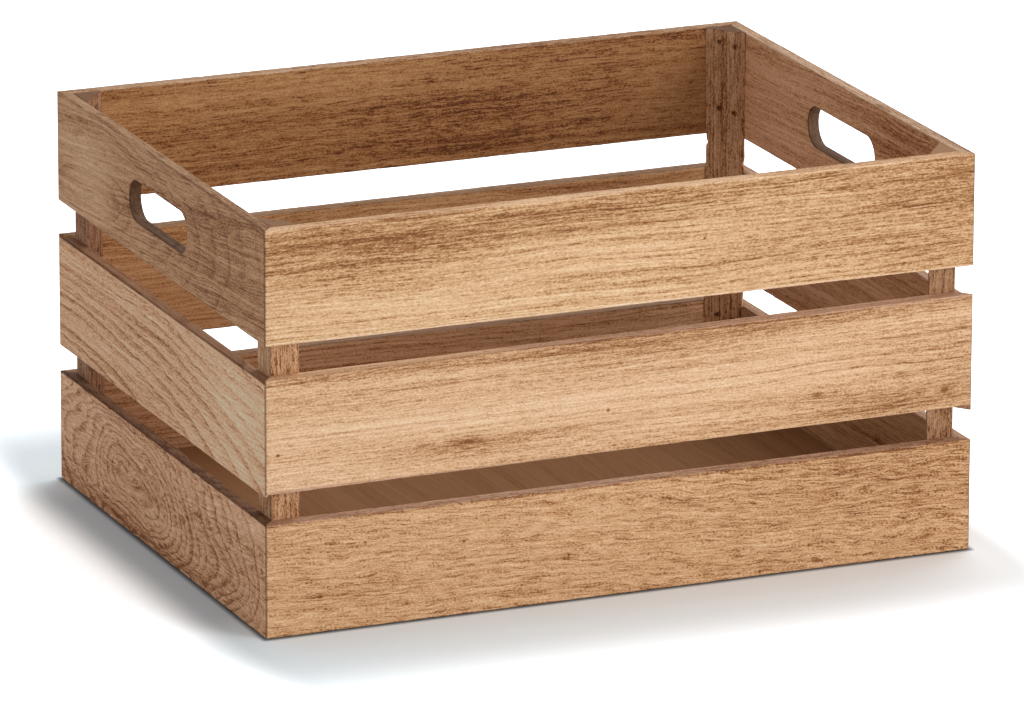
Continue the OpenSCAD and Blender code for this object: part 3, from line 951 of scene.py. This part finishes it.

# %% [markdown]
# ## The studio floor
# The floor that lights the crate is an even light grey. The camera alone sees
# another colour on it: white farther off, which cuts the crate's shadow short,
# and near the crate a darker one that keeps the real shadow and paints out the
# brown that the wood throws on it. This fade from dark to white is painted shade.
# The tint depends only on how far a point lies outside the crate's footprint. It
# changes faster at the ends than at the front. A painted shadow makes it deepest
# along the left side, and a painted contact shade makes it dark in the last few
# millimetres, where the boards meet the ground.

# %% Studio floor
FLOOR_REACH, FLOOR_GREY = 12, (0.72, 0.72, 0.72, 1)
END_RATE, FRONT_RATE, FADE_RANGE = 1.85, 0.5, (0.022, 0.088)
# The camera's floor colour near the crate keeps the real shadow and paints out the wood's brown bounce; far off it
# paints the floor white and cuts the shadow short.
NEAR_LEFT, NEAR_RIGHT = (0.95, 1.05, 1.11, 1), (0.97, 0.99, 1.0, 1)
FAR_LEFT, FAR_RIGHT = (2.25, 2.40, 2.50, 1), (2.12, 2.28, 2.44, 1)
# A painted shadow along the left side: where it starts and fades out from the side, its tint, and where it fades out
# towards the ends.
PAINTED_SHADOW_STARTS, PAINTED_SHADOW_FADES, PAINTED_SHADOW_TINT = (-0.015, 0.0), (0.034, 0.012), (0.70, 0.715, 0.735)
PAINTED_SHADOW_ENDS = (half_y + 0.005, half_y - 0.05)
# A painted contact shade in the last few millimetres round the footprint: its width and its darkest share.
PAINTED_CONTACT_WIDTH, PAINTED_CONTACT_DARKEST = 0.004, 0.25

corners = [(-FLOOR_REACH, -FLOOR_REACH, 0), (FLOOR_REACH, -FLOOR_REACH, 0)]
corners += [(FLOOR_REACH, FLOOR_REACH, 0), (-FLOOR_REACH, FLOOR_REACH, 0)]
ground_mesh = bpy.data.meshes.new("studio_floor")
ground_mesh.from_pydata(corners, [], [(0, 1, 2, 3)])
ground = bpy.data.objects.new("studio_floor", ground_mesh)
bpy.context.scene.collection.objects.link(ground)
floor = Pen("studio_floor")
floor.shader.inputs["Roughness"].default_value = 1.0
floor.shader.inputs["Specular IOR Level"].default_value = 0.0
camera_sees = floor.node("ShaderNodeLightPath").outputs["Is Camera Ray"]
floor_x, floor_y, _ = floor.split(floor.place())
past_x = floor.sum("MAXIMUM", floor.sum("SUBTRACT", floor.sum("ABSOLUTE", floor_x), half_x), 0.0)
past_y = floor.sum("MAXIMUM", floor.sum("SUBTRACT", floor.sum("ABSOLUTE", floor_y), half_y), 0.0)
scaled = floor.join(floor.sum("MULTIPLY", past_x, END_RATE), floor.sum("MULTIPLY", past_y, FRONT_RATE), 0.0)
# Camera-seen tint: darker near the crate, white far off, a painted fade that cuts the real shadow short.
rightwards = floor.step(floor_x, -half_x, half_x)
near_tint, far_tint = floor.mix(rightwards, NEAR_LEFT, NEAR_RIGHT), floor.mix(rightwards, FAR_LEFT, FAR_RIGHT)
pale = floor.mix(floor.step(floor.vector("LENGTH", scaled), *FADE_RANGE), near_tint, far_tint)
# A painted shadow, deepest along the left side, fading out away from the side and towards both ends.
left_of = floor.sum("SUBTRACT", floor.sum("MULTIPLY", floor_x, -1.0), half_x)
painted_shadow = floor.sum("MULTIPLY", floor.step(left_of, *PAINTED_SHADOW_STARTS), floor.step(left_of, *PAINTED_SHADOW_FADES))
painted_shadow = floor.sum("MULTIPLY", painted_shadow, floor.step(floor.sum("ABSOLUTE", floor_y), *PAINTED_SHADOW_ENDS))
# A painted contact shade where the boards meet the ground.
past = floor.vector("LENGTH", floor.join(past_x, past_y, 0.0))
painted_contact_factor = floor.step(past, 0.0, PAINTED_CONTACT_WIDTH, PAINTED_CONTACT_DARKEST, 1.0)
pale = floor.vector("MULTIPLY", pale, floor.join(painted_contact_factor, painted_contact_factor, painted_contact_factor))
pale = floor.mix(painted_shadow, pale, floor.vector("MULTIPLY", pale, PAINTED_SHADOW_TINT))
floor.put(floor.shader.inputs["Base Color"], floor.mix(camera_sees, FLOOR_GREY, pale))
ground.data.materials.append(floor.material)
print("studio floor:", 2 * FLOOR_REACH, "m square")

# %% [markdown]
# ## Sky and lamps
# An even grey sky fills the shadows, and the camera sees it white, which adds no
# light. Two soft round lamps do the rest: one low on the right that lights the
# front, and one high behind that throws the shadow to the left and forwards.
# Nothing on the crate mirrors the studio, so no other ray needs the white.

# %% Sky and lamps
SKY_LIGHT, WHITE = 0.5, (1.0, 1.0, 1.0, 1)
world = bpy.data.worlds.new("studio")
bpy.context.scene.world = world
world.use_nodes = True
sky = world.node_tree
sky.nodes.clear()
path = sky.nodes.new("ShaderNodeLightPath")
plain = sky.nodes.new("ShaderNodeBackground")
white = sky.nodes.new("ShaderNodeBackground")
choose = sky.nodes.new("ShaderNodeMixShader")
out = sky.nodes.new("ShaderNodeOutputWorld")
plain.inputs["Color"].default_value = WHITE
plain.inputs["Strength"].default_value = SKY_LIGHT
white.inputs["Color"].default_value = WHITE
sky.links.new(path.outputs["Is Camera Ray"], choose.inputs[0])
sky.links.new(plain.outputs[0], choose.inputs[1])
sky.links.new(white.outputs[0], choose.inputs[2])
sky.links.new(choose.outputs[0], out.inputs["Surface"])
LAMP_AIM = Vector((0, 0, 0.1))


def soft_lamp(name, turn, rise, distance, size, power):
    """A round lamp that faces the crate. Turn is degrees to the right of straight in front, rise is degrees up."""
    data = bpy.data.lights.new(name, "AREA")
    data.shape, data.size, data.energy = "DISK", size, power
    lamp = bpy.data.objects.new(name, data)
    bpy.context.scene.collection.objects.link(lamp)
    a, b = math.radians(turn), math.radians(rise)
    way = Vector((math.sin(a) * math.cos(b), -math.cos(a) * math.cos(b), math.sin(b)))
    lamp.location = way * distance + LAMP_AIM
    lamp.rotation_mode = "QUATERNION"
    lamp.rotation_quaternion = way.to_track_quat("Z", "Y")


soft_lamp("front_lamp", 35, 14, 3.2, 1.8, 46.0)
soft_lamp("back_lamp", 125, 68, 3.0, 1.6, 32.0)

bpy.context.scene.view_settings.view_transform = "Standard"
print("lamps:", [lamp.name for lamp in bpy.data.lights])
